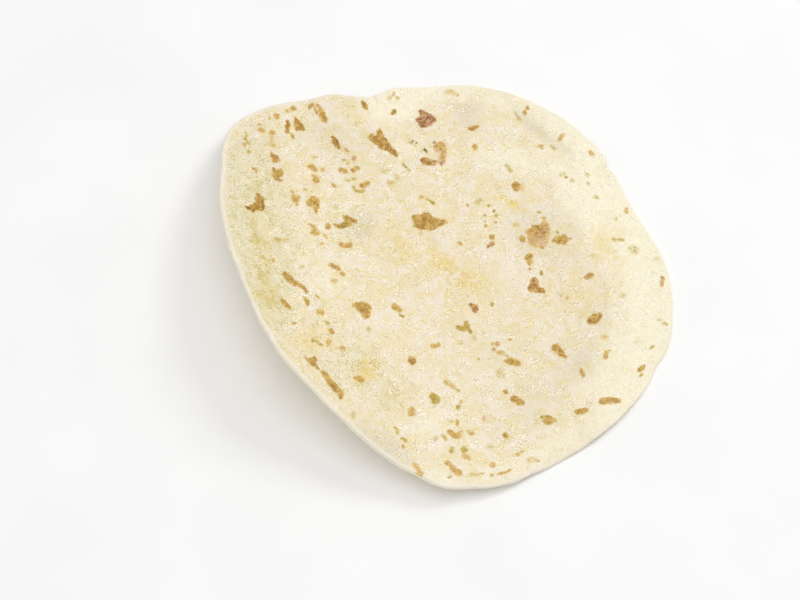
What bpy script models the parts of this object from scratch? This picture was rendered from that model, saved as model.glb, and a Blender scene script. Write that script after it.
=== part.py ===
"""One soft flour tortilla: a thin round sheet that lies on its middle, with its left side curled up.

The sheet is drawn flat first, as a net of triangles inside a lumpy circle. Its left side is then
rolled up round a cylinder, Solidify gives it its thickness and Bevel rounds its rim.
Metres, +X right, +Y away, +Z up. The origin is under the middle of the tortilla, on the table.
"""

import math

import bmesh
import bpy
from mathutils import Matrix, Vector

NAME = "tortilla"
MM = 0.001

# The flat sheet. The radii run from its middle to its rim, one every 20 degrees from +X.
RIM_RADII = (93, 85.5, 87.5, 90.5, 90.5, 88.5, 96, 106, 97.5, 91, 88, 88.5, 88.5, 94.5, 99.5, 97, 97.5, 97.5)
RINGS = 26

# Dents in the rim: where, as an angle, how deep, and how far they spread each way. A negative one bulges.
RIM_DENTS = (
    (109.5, 3.7, 9.5),  # a pinch in the far rim
    (35.0, 1.0, 2.5),  # a crack on the far right
    (333.0, 0.8, 5.0),  # a flat on the near right
    (292.0, 0.6, 5.0),  # a nick in the near rim
    (129.0, -1.2, 11.0),  # the far corner's shoulder
    (270.0, -1.2, 7.0),  # the near corner
)

# The curl: which way the raised side points, where it starts and how tight it is.
CURL_DIRECTION = 206.0
CURL_START = 12.0
CURL_RADIUS = 85.0

# The dough.
THINNEST = 1.9
THICKEST = 3.8
PLAIN_THICKNESS = 2.4
RIM_TAPER = 12.0  # how far inside the rim the sheet starts to thin
RIM_ROUNDING = 0.6

# Waves that both faces follow: x, y, half length, half width, direction of the length, height.
WAVES = (
    (65.0, -2.0, 56.0, 23.0, 96.0, 2.8),  # the ridge inside the right rim
    (-26.0, 92.0, 34.0, 22.0, 20.0, 2.6),  # the far rim, lifted beside the pinch
    (22.0, -97.0, 40.0, 18.0, -4.0, 2.2),  # the near rim, off the table
    (70.0, -70.0, 26.0, 20.0, 40.0, 1.6),  # the near right rim
    (62.0, 62.0, 28.0, 18.0, -45.0, 1.8),  # the far right rim
    (-78.0, 40.0, 40.0, 30.0, 60.0, 2.4),  # the curl's far corner, leaning in
    (-62.0, -40.0, 36.0, 30.0, -50.0, -2.2),  # the curl's belly
)

# Blisters on the upper face: x, y, radius, height.
BLISTERS = (
    (41.0, 17.0, 15.0, 1.1),
    (-2.0, 23.0, 12.0, 0.8),
    (-21.0, 58.0, 12.0, 0.8),
    (-4.0, 70.0, 11.0, 0.9),
    (0.0, 53.0, 11.0, 0.6),
    (-30.0, -19.0, 10.0, 0.8),
    (40.0, -7.0, 10.0, 0.7),
    (-74.0, 24.0, 11.0, 0.8),
    (-50.0, 29.0, 10.0, 0.6),
    (-36.0, 22.0, 10.0, 0.7),
    (64.0, -21.0, 9.0, 0.6),
    (49.0, -36.0, 10.0, 0.6),
    (13.0, -21.0, 10.0, 0.5),
    (45.0, -68.0, 10.0, 0.7),
    (64.0, -60.0, 10.0, 0.7),
    (8.0, -83.0, 11.0, 0.6),
    (-46.0, -58.0, 12.0, 0.6),
    (18.0, 5.0, 18.0, 0.4),
)

CRUST_COLOUR = (0.86, 0.80, 0.62, 1.0)
CRUST_ROUGHNESS = 0.72


def clear_scene():
    """Removes whatever the scene held."""
    for old in list(bpy.data.objects):
        bpy.data.objects.remove(old, do_unlink=True)


def soft_bump(distance):
    """1 at no distance, falling smoothly to exactly 0 at a distance of 1 and beyond."""
    return (1.0 - min(distance, 1.0) ** 2) ** 2


def turn_between(angle, other):
    """The size of the turn from one angle to the other, in degrees, up to 180."""
    return abs((angle - other + 180.0) % 360.0 - 180.0)


def rim_radius(angle):
    """The flat sheet's radius at an angle in degrees, on a smooth closed curve through RIM_RADII."""
    count = len(RIM_RADII)
    place = angle % 360.0 / (360.0 / count)
    first = int(place)
    t = place - first
    a, b, c, d = (RIM_RADII[(first + k) % count] for k in (-1, 0, 1, 2))
    radius = b + 0.5 * t * (c - a + t * (2 * a - 5 * b + 4 * c - d + t * (3 * (b - c) + d - a)))
    for where, depth, width in RIM_DENTS:
        radius -= depth * soft_bump(turn_between(angle, where) / width)
    return radius


def flat_place(corner):
    """Moves a point of the unit hexagon, which has a corner at +Y, to the same ring of the flat sheet."""
    angle = math.degrees(math.atan2(corner.y, corner.x))
    from_side = (angle + 30.0) % 60.0 - 30.0
    to_side = math.cos(math.radians(30.0)) / math.cos(math.radians(from_side))
    ring = min(corner.length / to_side, 1.0)
    reach = ring * rim_radius(angle)
    return Vector((reach * math.cos(math.radians(angle)), reach * math.sin(math.radians(angle)))), ring


def wave_height(place):
    """How far the whole sheet stands off its plain form at a place on the flat sheet."""
    height = 0.0
    for x, y, half_length, half_width, direction, rise in WAVES:
        away = Matrix.Rotation(-math.radians(direction), 2) @ (place - Vector((x, y)))
        height += rise * soft_bump(math.hypot(away.x / half_length, away.y / half_width))
    return height


def thickness(place, ring):
    """The dough's thickness at a place: plain in the middle, thin at the rim, thick in a blister."""
    inside = (1.0 - ring) * rim_radius(math.degrees(math.atan2(place.y, place.x)))
    taper = soft_bump(inside / RIM_TAPER)
    dough = PLAIN_THICKNESS - (PLAIN_THICKNESS - THINNEST) * taper
    for x, y, radius, height in BLISTERS:
        dough += height * (1.0 - taper) * soft_bump((place - Vector((x, y))).length / radius)
    return min(max(dough, THINNEST), THICKEST)


def curled(place):
    """The place in space, in millimetres, of a place on the flat sheet."""
    direction = Vector((math.cos(math.radians(CURL_DIRECTION)), math.sin(math.radians(CURL_DIRECTION))))
    outward = place.dot(direction)
    beyond = max(outward - CURL_START, 0.0)
    slope = beyond / CURL_RADIUS
    moved = place + direction * (CURL_RADIUS * math.sin(slope) - beyond)
    height = CURL_RADIUS * (1.0 - math.cos(slope))
    upward = Vector((-direction.x * math.sin(slope), -direction.y * math.sin(slope), math.cos(slope)))
    return Vector((moved.x, moved.y, height)) + upward * wave_height(place)


def crust_material():
    material = bpy.data.materials.new("crust")
    material.use_nodes = True
    shader = material.node_tree.nodes["Principled BSDF"]
    shader.inputs["Base Color"].default_value = CRUST_COLOUR
    shader.inputs["Roughness"].default_value = CRUST_ROUGHNESS
    shader.inputs["Metallic"].default_value = 0.0
    return material


def underside_mesh():
    """The sheet's underside as an open surface, and its thickness as one weight for each vertex."""
    net = bmesh.new()
    bmesh.ops.create_circle(net, cap_ends=True, cap_tris=True, segments=6, radius=1.0)
    bmesh.ops.subdivide_edges(net, edges=net.edges, cuts=RINGS - 1, use_grid_fill=True)
    bmesh.ops.triangulate(net, faces=net.faces)
    weights = []
    for vertex in net.verts:
        place, ring = flat_place(vertex.co.xy)
        weights.append((thickness(place, ring) - THINNEST) / (THICKEST - THINNEST))
        vertex.co = curled(place) * MM
    bmesh.ops.recalc_face_normals(net, faces=net.faces)
    if sum(face.normal.z for face in net.faces) < 0:
        bmesh.ops.reverse_faces(net, faces=net.faces)
    mesh = bpy.data.meshes.new(NAME)
    net.to_mesh(mesh)
    net.free()
    return mesh, weights


def add_thickness(sheet, weights):
    """Builds the dough upwards from the underside, as thick as the weights say."""
    group = sheet.vertex_groups.new(name="thickness")
    for index, weight in enumerate(weights):
        group.add([index], weight, "REPLACE")
    dough = sheet.modifiers.new("dough", "SOLIDIFY")
    dough.thickness = THICKEST * MM
    dough.offset = 1.0
    dough.use_even_offset = True
    dough.vertex_group = group.name
    dough.thickness_vertex_group = THINNEST / THICKEST


def round_rim(sheet):
    rounding = sheet.modifiers.new("rim", "BEVEL")
    rounding.width = RIM_ROUNDING * MM
    rounding.segments = 2
    rounding.limit_method = "ANGLE"
    rounding.angle_limit = math.radians(55.0)


def centre_on_origin(sheet):
    """Moves the mesh so that the middle of the tortilla's box stands on the origin."""
    bpy.context.view_layer.update()
    corners = [Vector(corner) for corner in sheet.evaluated_get(bpy.context.evaluated_depsgraph_get()).bound_box]
    low = Vector(min(corner[axis] for corner in corners) for axis in range(3))
    high = Vector(max(corner[axis] for corner in corners) for axis in range(3))
    sheet.data.transform(Matrix.Translation((-(low.x + high.x) / 2, -(low.y + high.y) / 2, -low.z)))


def make_tortilla(collection):
    mesh, weights = underside_mesh()
    mesh.materials.append(crust_material())
    sheet = bpy.data.objects.new(NAME, mesh)
    collection.objects.link(sheet)
    add_thickness(sheet, weights)
    round_rim(sheet)
    centre_on_origin(sheet)
    mesh.shade_smooth()
    return sheet


def main():
    clear_scene()
    collection = bpy.data.collections.new(NAME)
    bpy.context.scene.collection.children.link(collection)
    make_tortilla(collection)


main()
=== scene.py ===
# One soft flour tortilla, dressed for its picture: a dense sheet with its own toast marks on a pale
# table, in soft light. Sheet sizes are in millimetres and angles in degrees. Places read off the picture
# are in its pixels, across and down from the top left corner of an 800 by 600 frame.

import math

import bpy
import numpy as np
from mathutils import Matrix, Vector


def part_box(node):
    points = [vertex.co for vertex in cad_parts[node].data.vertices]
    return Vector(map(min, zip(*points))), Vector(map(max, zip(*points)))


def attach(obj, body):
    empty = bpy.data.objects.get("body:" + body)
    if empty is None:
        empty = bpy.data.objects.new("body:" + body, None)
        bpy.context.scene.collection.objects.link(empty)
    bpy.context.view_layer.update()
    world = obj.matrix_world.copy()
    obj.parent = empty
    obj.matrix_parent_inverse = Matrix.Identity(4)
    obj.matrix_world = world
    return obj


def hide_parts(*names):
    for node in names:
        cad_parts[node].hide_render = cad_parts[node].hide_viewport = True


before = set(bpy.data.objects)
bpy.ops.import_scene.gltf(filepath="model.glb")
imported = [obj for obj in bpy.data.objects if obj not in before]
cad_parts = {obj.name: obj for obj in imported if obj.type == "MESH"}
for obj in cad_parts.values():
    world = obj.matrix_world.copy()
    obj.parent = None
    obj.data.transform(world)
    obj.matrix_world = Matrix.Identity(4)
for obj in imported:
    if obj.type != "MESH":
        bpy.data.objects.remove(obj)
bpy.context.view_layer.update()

MM = 0.001

# The seeds of the rim's raggedness, of each face's relief and of the underside's toast marks.
RIM_SEED = 41
TOP_SEED = 51
UNDERSIDE_SEED = 71
UNDERSIDE_MARKS_SEED = 91

# The picture's frame and the camera that looks at the sheet in it.
FRAME_WIDTH = 800
FRAME_HEIGHT = 600
MM_PER_PIXEL = 0.40
CAMERA_ELEVATION = 61.0
CAMERA_DISTANCE = 1000.0
CAMERA_CLIP = (0.05, 20.0)  # the nearest and farthest that it sees, in metres
SENSOR_WIDTH = 36.0
SHEET_MIDDLE = (436, 272)  # the pixel that shows the middle of the flat sheet

# The flat sheet, in the CAD part's sizes. Its radii go from middle to rim, one every 20 degrees from +X.
RIM_RADII = (93, 85.5, 87.5, 90.5, 90.5, 88.5, 96, 106, 97.5, 91, 88, 88.5, 88.5, 94.5, 99.5, 97, 97.5, 97.5)

# Dents in the rim: where, as an angle, how deep, and how far they spread each way. A negative one bulges.
RIM_DENTS = (
    (109.5, 3.7, 9.5),  # a pinch in the far rim
    (35, 1, 2.5),  # a crack on the far right
    (333, 0.8, 5),  # a flat on the near right
    (292, 0.6, 5),  # a nick in the near rim
    (129, -1.2, 11),  # the far corner's shoulder
    (270, -1.2, 7),  # the near corner
)

# Finer steps in the rim, in the same form, which the CAD part leaves out.
RIM_NICKS = (
    (34.6, 1.1, 1.1),  # where the crack on the far right meets the rim
    (37.3, -1.1, 2.6),  # the flap beyond it
    (41.5, -1, 4.5),
)

# The curl: which way the raised side points, where it starts and how tight it is.
CURL_DIRECTION = 206.0
CURL_START = 12.0
CURL_RADIUS = 85.0

# The dough.
THINNEST = 1.9
THICKEST = 3.8
PLAIN_THICKNESS = 2.4
RIM_TAPER = 12.0  # how far inside the rim the sheet starts to thin

# Waves that both faces follow: x, y, half length, half width, direction of the length, height.
WAVES = (
    (65, -2, 56, 23, 96, 2.8),  # the ridge inside the right rim
    (-26, 92, 34, 22, 20, 2.6),  # the far rim, lifted beside the pinch
    (22, -97, 40, 18, -4, 2.2),  # the near rim, off the table
    (70, -70, 26, 20, 40, 1.6),  # the near right rim
    (62, 62, 28, 18, -45, 1.8),  # the far right rim
    (-78, 40, 40, 30, 60, 2.4),  # the curl's far corner, leaning in
    (-62, -40, 36, 30, -50, -2.2),  # the curl's belly
)

# Blisters on the upper face: x, y, radius, height.
BLISTERS = (
    (41, 17, 15, 1.1), (-2, 23, 12, 0.8), (-21, 58, 12, 0.8), (-4, 70, 11, 0.9), (0, 53, 11, 0.6),
    (-30, -19, 10, 0.8), (40, -7, 10, 0.7), (-74, 24, 11, 0.8), (-50, 29, 10, 0.6), (-36, 22, 10, 0.7),
    (64, -21, 9, 0.6), (49, -36, 10, 0.6), (13, -21, 10, 0.5), (45, -68, 10, 0.7), (64, -60, 10, 0.7),
    (8, -83, 11, 0.6), (-46, -58, 12, 0.6), (18, 5, 18, 0.4),
)

# The dense mesh that stands for the sheet.
RINGS = 168
RIM_STRIPS = 10
RIM_ROUND = 0.95  # how far the rounded rim reaches out past the two faces
RIM_BLUNTNESS = 0.8  # the power that rounds the rim, blunter than a half circle when under 1
RIM_NUDGE = 0.01  # the small step outwards that shows which way the rim points
RIM_BLEND = (0.3, 0.7)  # the shares of the way down the rim between which it takes on the underside's looks
RIM_RAGGEDNESS = 0.16
RIM_WAVES = range(9, 120, 3)  # how many ups and downs each part of the raggedness has

# Finer relief: wavelength and height of each unevenness of the faces.
RIPPLES = ((17, 0.16), (7.5, 0.07), (3.2, 0.045))
RIPPLE_WAVES = 56  # how many plain waves add up to one unevenness
RIPPLE_SPREAD = (0.7, 1.5)  # their own wavelengths, as shares of the main one
PIMPLE_COUNT = 1500
PIMPLE_RADII = (0.7, 2.4)
PIMPLE_HEIGHTS = (0.03, 0.13)

# Small forms that the picture shows in the upper face: across, down, length, width, tilt, height in mm.
SMALL_FORMS = (
    (374, 99, 18, 5, -65, -0.8),  # the fold that runs in from the pinch
    (599, 169, 22, 3.5, 18, -0.7),  # the crack that runs in from the far right
    (540, 135, 105, 22, -38, -1.1),  # the valley inside the far right rim
    (574, 150, 34, 20, 35, 0.5),  # the swelling beyond it
    (386.5, 305.5, 16, 3.5, 80, 0.35),  # a short ridge in the middle
    (394.5, 454, 14, 4, 85, 0.4),  # a short ridge at the near rim
    (540, 238, 84, 80, 0, 0.5),  # the blister round the big pale spot
    (230, 258, 10, 2.5, -65, -0.35),  # ticks in the raised rim
    (219, 217, 9, 2.5, -80, -0.3),
    (352, 353, 30, 3, -4, -0.2),
    (640, 341, 26, 6, 10, 0.25),
)

# How toast marks are worked out, in pixels.
MARK_REACH = 30.0  # how far from its middle a mark counts
FAR_OUTSIDE = -100.0  # a mark's depth before its lobes are added
TINY = 1e-6  # keeps the middle of a lobe from dividing by nothing
LOBE_TIGHTNESS = 1.6  # how sharply a mark's lobes meet
STROKE_EDGE = 0.8  # half the width of a stroke's soft edge

# The relief of toast marks: its height in mm, the pixels inside a mark's edge over which it rises, and
# the darkness that is added to each mark's own, so that a faint one stands out too.
TOAST_HEIGHT = 0.30
TOAST_SLOPE = (-2.0, 5.0)
TOAST_LEAST = 0.4

# Toast marks in the picture: darkness, tone from olive (-1) to red (1), and the lobes that make the
# mark, each across, down, length, width and, if it leans, tilt, anticlockwise from level.
TOAST_LEFT = (
    (0.55, -0.4, (239.5, 118.5, 4.5, 2.6, -40)), (0.4, -0.7, (224, 130.3, 7, 3.6, 50)),
    (0.45, -0.9, (245.2, 132, 2.2, 2), (246.5, 135.5, 4.5, 2, 70), (247.2, 141.5, 9, 2.6, -50)),
    (0.6, 0.6, (244.5, 145.7, 4, 3.2, -60)), (0.4, -0.8, (248.8, 151.7, 3.6, 3)),
    (0.5, 0, (259.5, 124.7, 3.4, 2.4, -50)), (0.45, 0.2, (261.5, 130.5, 7.5, 4.2, -25)),
    (0.45, -0.3, (269, 118.5, 2.6, 3)), (0.62, 0.2, (276.5, 117, 6.5, 5.2, -50)),
    (0.6, -0.1, (272.3, 132.8, 6.2, 5)), (0.25, 0.3, (272, 139, 4, 9), (269.3, 144.5, 3.2, 3.2)),
    (0.5, -0.3, (273.8, 145.7, 3.2, 2.6)), (0.55, -0.6, (292.5, 135.5, 7, 2.8, -70)),
    (0.5, -0.3, (287.3, 111.2, 4.2, 3.2, 20)), (0.55, 0.1, (293.3, 108.2, 6.4, 4.6)),
    (0.62, 0.1, (254, 168.5, 4.6, 2.6, -10), (256.5, 171, 1.8, 3.4)),
    (0.55, 0.2, (293.5, 197, 4.8, 5.2), (298, 197.5, 4.2, 4.2), (295.5, 200.5, 6, 5.4),
     (297, 204.3, 3.2, 3.6)),
    (0.45, 0.2, (292, 192, 3.6, 1.8, -30)), (0.4, -0.6, (305, 190.3, 3.2, 2.2, -30)),
    (0.6, 0.3, (309.3, 166, 4.4, 2.8), (312.5, 167.2, 6.2, 5.2, -30), (316.2, 169.8, 4, 3.2, -50)),
    (0.45, -0.3, (323, 169.5, 3.8, 3.6)), (0.62, 0.2, (313.6, 176, 3.4, 3.6), (316.2, 180, 7.6, 6.8, -40)),
    (0.3, -0.1, (314.3, 157.4, 4.2, 2.6)), (0.5, 0.7, (354, 158.7, 4.4, 4.6)),
    (0.45, -0.8, (344.5, 160.2, 3.2, 2)), (0.3, 0.4, (347.8, 163.3, 3.2, 3.2)),
    (0.85, -0.1, (340, 170, 4.2, 4.4), (344.6, 171.1, 7.2, 4.8, -28)),
    (0.85, -0.1, (353.4, 170, 4.4, 4.6), (357.4, 168.2, 4.8, 4.6, 30)),
    (0.8, 0, (364.4, 105.2, 10.5, 4.5, -58)),
    (0.66, 0.3, (362.4, 186, 6.2, 5.2), (367, 183.6, 6.4, 4.4, 15)),
    (0.45, -0.4, (347.6, 180.3, 5.2, 2.2, -28)), (0.35, -0.9, (354, 178.8, 5.2, 2)),
    (0.45, -0.8, (353.4, 187, 3, 3.6), (355.4, 190.3, 4.4, 2.4, -45), (358.8, 191.4, 5.2, 2),
     (362.6, 191.3, 4.6, 2.4, 10)),
    (0.5, -0.6, (334.3, 186.2, 7, 2.6, -45)), (0.3, -0.8, (336.2, 208.3, 3.4, 3)),
    (0.58, 0, (328, 226, 5.4, 6.8)),
    (0.5, -0.3, (310.5, 225.2, 4.6, 2.2, -25), (314, 228.3, 4.2, 5.4), (313.8, 232.7, 6.4, 5.4),
     (317.6, 233.4, 4.4, 2.8, 20)),
    (0.55, 0, (325.8, 235.7, 5.6, 2.6, -60)), (0.5, 0.5, (321.8, 244, 3.8, 3)),
    (0.52, 0.4, (341.6, 244.4, 5.2, 4.6, -30), (345.6, 246.2, 6.2, 4.2), (349.6, 245.3, 6.2, 5.6)),
    (0.35, -0.6, (278, 239.5, 7.2, 3.6, -15)), (0.28, 0, (285.5, 240.3, 5.2, 4.2)),
    (0.22, -1, (257.2, 237.5, 8.5, 2.8, -75)), (0.5, -0.5, (263.3, 257.8, 3.8, 2.4, -40)),
    (0.55, 0, (273, 260.5, 5.2, 2.6, -75)), (0.3, -0.8, (302, 267, 3, 3)),
    (0.75, 0, (285, 274.6, 5, 7), (289, 279, 12, 6.8, -45), (294.6, 283.2, 8.2, 5, -30),
     (300.3, 285.8, 6, 3.8, -40), (305, 289.8, 8.5, 3.4, -50)),
    (0.58, 0.5, (331.3, 265.5, 6.2, 3.6, -40), (337, 267.9, 8.4, 4, -30)),
    (0.5, -0.4, (342.4, 274.3, 5.4, 4.4, -20)), (0.35, 0.4, (334.4, 281, 6.2, 4, 15)),
    (0.55, -0.5, (248.8, 293.6, 3, 2.2, -45)),
)

TOAST_RIGHT = (
    (0.3, 0, (389.7, 97.5, 3.6, 2.6)), (0.45, 0.3, (393.5, 93.6, 2.4, 3.4)),
    (0.5, -0.3, (397.4, 98, 4.4, 2.6, -45)),
    (0.95, -0.4, (393.2, 113.2, 5, 3.2, 10), (394.6, 111, 3, 4, 20)),
    (0.55, -0.9, (405, 165.5, 6, 1.8, -45)), (0.45, -0.9, (409.5, 170.3, 4.4, 2, -20)),
    (0.3, -0.4, (390.5, 182.7, 6.4, 4.6)), (0.22, -0.9, (397, 177, 6, 2.4, -30), (386, 171.5, 7, 2.2, 10)),
    (0.28, -0.2, (449, 92, 8.4, 2.8, 10), (453, 93, 5, 1.8, -35)), (0.45, -0.6, (457.6, 95.3, 2.4, 1.8)),
    (0.72, 0.2, (472.2, 128.6, 8.4, 5, 10), (476.6, 126.9, 5.8, 2.4, 10)), (0.5, 0.1, (475, 147, 5.8, 5.6)),
    (1.7, -0.7, (434.4, 142.6, 2.2, 2.6)), (1.7, -0.8, (425.6, 150.4, 5.6, 1.9, -38)),
    (0.62, 0.3, (524.8, 112.6, 4.4, 4.2), (527.6, 107.8, 3.4, 4.4)),
    (0.4, -0.8, (517.5, 115.8, 7.6, 2.2, -58)), (0.5, 0.5, (520.6, 119.3, 2.6, 2.2)),
    (0.42, -0.2, (561, 137.2, 9, 4.6, 50)), (0.48, 0.5, (540.8, 145.5, 5.6, 3.8), (541.6, 148, 3, 3)),
    (0.3, -0.7, (553, 146.6, 5.6, 2.6, -45)), (0.38, 0.2, (591.5, 153.3, 7, 4.4, -38)),
    (0.35, -0.8, (506, 165.2, 2.4, 2.4), (509.3, 169.3, 6.8, 3.2, -55)),
    (0.78, 0, (515.8, 185.6, 8, 6.6), (516.6, 188.4, 7.6, 6)), (0.22, 0.6, (521.5, 187.5, 4, 6.5)),
    (0.28, -0.9, (562, 174, 4.6, 2.2, 15)), (0.56, 0.1, (566.2, 177.4, 3.2, 2.8)),
    (0.3, -0.9, (572, 180.4, 3.2, 2.4)), (0.35, -0.9, (588.2, 183.2, 3.2, 2.4), (587, 175, 4.6, 1.8, -30)),
    (0.3, -0.8, (596.4, 197.3, 4.6, 2.6, -10)), (0.45, -0.2, (462, 174.2, 2.6, 2)),
    (0.45, 0.2, (421.5, 197, 6, 2.4, 5)),
    (0.55, -0.9, (427.4, 199, 2.8, 1.8, -40), (432, 202.1, 6.4, 2.2, -35)),
    (0.5, 0.3, (467.8, 205.7, 3.2, 2.8, -30)), (0.55, -0.7, (480.5, 200, 2.6, 2.4)),
    (0.65, -0.6, (488.5, 205.5, 2.6, 2.6)), (0.7, -0.6, (494.4, 211, 3, 2.6)),
    (0.5, -0.8, (484.7, 215.3, 2.6, 2.4)), (0.5, -0.4, (496.3, 215, 3, 2.8)),
    (0.4, -0.8, (485, 221.3, 2.4, 2.4)), (0.4, -0.8, (495.3, 222.2, 2.4, 2.4)),
    (0.65, 0.4, (485.8, 225.5, 3.2, 3)), (0.28, -0.9, (477.6, 202, 5, 2.6, 30)),
    (0.6, -0.9, (413.4, 217, 3.4, 4.2), (414.8, 225.5, 2.4, 4.2)), (0.3, -0.4, (420.4, 233, 3.4, 1.6, 55)),
    (0.45, 0.5, (460, 243.6, 6.8, 3.2, -35)), (0.42, -0.8, (539, 212.9, 4.4, 2)),
    (0.45, -0.6, (543.6, 218.9, 5, 2.4)), (0.3, 0.1, (516, 225, 6.8, 3.4, 5)),
    (0.6, -0.5, (541.8, 247.5, 4, 3.2, -30)), (0.6, -0.6, (557.6, 232.5, 4.4, 1.9, -60)),
    (0.65, -0.2, (492, 237.2, 6, 5.2)), (0.8, 0.6, (492.3, 243.9, 6, 4.2), (488.8, 246.6, 4.6, 2.4, 35)),
    (0.68, -0.1, (528.6, 256.8, 8, 5.2, 25), (529.6, 262, 4.6, 7.4)), (0.55, 0, (530, 269.2, 3.6, 2.8)),
    (0.85, -0.6, (541.2, 273, 2.8, 4.2)),
    (0.6, 0.5, (586.5, 277, 5, 4.6, 30), (590.3, 275.2, 6.6, 5.6, 20)),
    (0.4, 0.8, (561.2, 295.8, 2.8, 2.4, -45)), (0.5, 0.5, (567.2, 297.7, 3, 3.2)),
    (0.42, 0.2, (626.5, 208.4, 3, 3.2), (626, 211.8, 4.2, 4.6)), (0.3, -0.6, (615.7, 219.3, 2.8, 1.8)),
    (0.42, -0.9, (614.2, 239.4, 3.4, 3.4), (618.6, 239.6, 4.2, 1.7, -15), (622.8, 240, 4, 2.4, 20)),
    (0.26, -1, (635, 250.4, 6.8, 7.2), (630.8, 248.5, 4.6, 2.2)), (0.2, -1, (593.8, 256.3, 4.6, 2.4, -20)),
    (0.25, -0.6, (656.5, 259, 3.4, 1.6, 10)),
    (0.52, 0.6, (662.7, 278.9, 4, 6), (661.9, 283.6, 4.4, 7.6, -5)),
    (0.3, -0.8, (622.8, 295.5, 4.4, 2.2, 10)),
)

TOAST_NEAR_RIGHT = (
    (0.82, 0.5, (475, 308.6, 6.6, 8.6), (470.8, 305.4, 4.6, 4.4)), (0.5, -0.8, (492, 304.2, 3.2, 4.2)),
    (0.66, -0.6, (466.8, 325.2, 9.6, 5, -68), (461, 328.6, 11, 4.6, -25), (470.3, 331, 3.4, 4.4)),
    (0.25, -0.9, (474, 338, 3.4, 3.2), (461, 342.5, 4, 2.2)), (0.52, 0.6, (497.5, 344, 4.8, 5.8)),
    (0.45, -0.8, (492.6, 343.6, 2.6, 3.2)), (0.5, 0.6, (493.6, 349.4, 3.8, 3.8)),
    (0.4, -0.4, (500.6, 353, 8.4, 4.8), (507, 355.8, 3, 2.8)), (0.45, 0.5, (509.8, 339.6, 4.8, 3)),
    (0.6, -0.1, (510.6, 361, 12, 6.4), (516.4, 363.2, 9.4, 6.2, -10)), (0.4, -0.9, (478.5, 358.5, 2.4, 3)),
    (0.2, -0.8, (499.6, 372.5, 6, 8)),
    (0.7, 0.3, (556, 348.2, 8.4, 7.6, -40), (560.6, 352.4, 11, 7.4, -48), (565, 356.4, 5, 3.4, -20)),
    (0.66, 0.5, (581.2, 371.5, 3.2, 8.2), (583.6, 374.6, 3.2, 4)),
    (0.72, 0.1, (606.3, 352.6, 4.2, 4.6), (605.6, 357, 4.8, 4.4), (609.2, 350.5, 3.8, 1.6)),
    (0.28, -0.4, (604.5, 337.3, 6.4, 3.2)), (0.4, -0.1, (659.5, 320.3, 4.8, 1.8)),
    (0.38, -0.7, (665, 323.7, 5.2, 2.4, -10)), (0.42, -0.6, (652, 347.4, 5.6, 2.6, 25)),
    (0.15, -0.4, (639, 341.3, 7, 2.2)), (0.72, -0.2, (641.2, 368.5, 9.4, 4.2, 40)),
    (0.45, -0.5, (641.3, 375.3, 3.6, 1.9, 40)),
    (0.54, 0.3, (603.4, 401.6, 9.4, 6.8, 15), (608.8, 401, 8, 7.6), (616, 400.6, 11, 5, -5)),
    (0.66, 0.1, (579.8, 411.4, 10, 6), (584.8, 410.2, 6.4, 4.8, 20)),
    (0.66, 0.2, (548.2, 420.2, 11.4, 9.4)), (0.6, -0.7, (542.2, 417.4, 5.2, 2.6, 30)),
    (0.35, -0.8, (554.4, 420.2, 4.6, 3.6)), (0.62, 0.1, (505.6, 391.7, 5.8, 3.9, -38)),
    (0.72, 0.1, (515.4, 399.2, 10.4, 7.2, -20), (520.6, 402.6, 8.6, 5.4, -10)),
    (0.4, 0.7, (483.9, 418.3, 3.2, 5.8)), (0.66, 0.3, (505.3, 435.6, 5.6, 5.8)),
    (0.32, -0.4, (447, 382.6, 6.4, 4.8, -30), (452.2, 386.1, 9.4, 3.4, -38)),
    (0.4, -0.9, (458.2, 390.6, 3.8, 2.6, -30)),
    (0.6, -0.6, (432.6, 396.3, 6.6, 6.8), (436, 399.6, 8.6, 8.2), (434.2, 401.8, 4.4, 4)),
    (0.45, -0.1, (411.6, 411.5, 7.2, 9.8)), (0.45, 0.5, (461.2, 401.6, 4.8, 2.4, 75)),
    (0.6, -0.6, (458.2, 406.9, 4, 5)), (0.48, 0.1, (457.3, 422.8, 3.2, 6.4)),
    (0.3, -0.8, (451.6, 421, 3, 1.6)), (0.42, 0.3, (471.8, 433.6, 5.2, 4.4), (468, 431.6, 4.4, 2.8)),
    (0.52, -0.2, (451, 433.2, 8.8, 6, -35), (456.2, 436.2, 9, 5.4), (460.4, 432.6, 5, 3.2)),
    (0.4, -0.2, (444, 437.6, 8, 3.6, -48)), (0.42, -0.7, (451.5, 450, 4.2, 7.2)),
    (0.5, -0.75, (464.2, 449.6, 6.8, 6)), (0.34, -0.45, (466.4, 456.4, 10, 4.8, -38)),
    (0.42, 0.1, (492.4, 465, 6.8, 5.6, -30)),
    (0.48, 0.3, (448.2, 463.6, 9, 5, -30), (453.6, 468.8, 8.4, 5.4, -45), (458.4, 472.6, 8, 5.6, -20)),
    (0.5, -0.7, (450, 476.6, 5.6, 1.8, 25)), (0.3, -0.4, (474.5, 475, 10, 1.8, -5)),
    (0.5, -0.2, (482, 474.2, 4.8, 2, 15)), (0.48, -0.8, (492.2, 475.8, 3.6, 2.6, 10)),
    (0.46, 0.1, (502, 473.6, 10.6, 2.3, 10), (508.6, 470.9, 7, 2.2, 25)),
    (0.4, -0.2, (518, 453.6, 5.2, 2.2, 40), (522, 451.4, 4.8, 2, 20)),
    (0.28, 0.1, (531.6, 460, 9.4, 3.4, 5)), (0.35, -0.8, (537.6, 461, 4.4, 1.6, -10)),
    (0.28, -0.9, (490, 446.7, 5, 2)),
)

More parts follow.
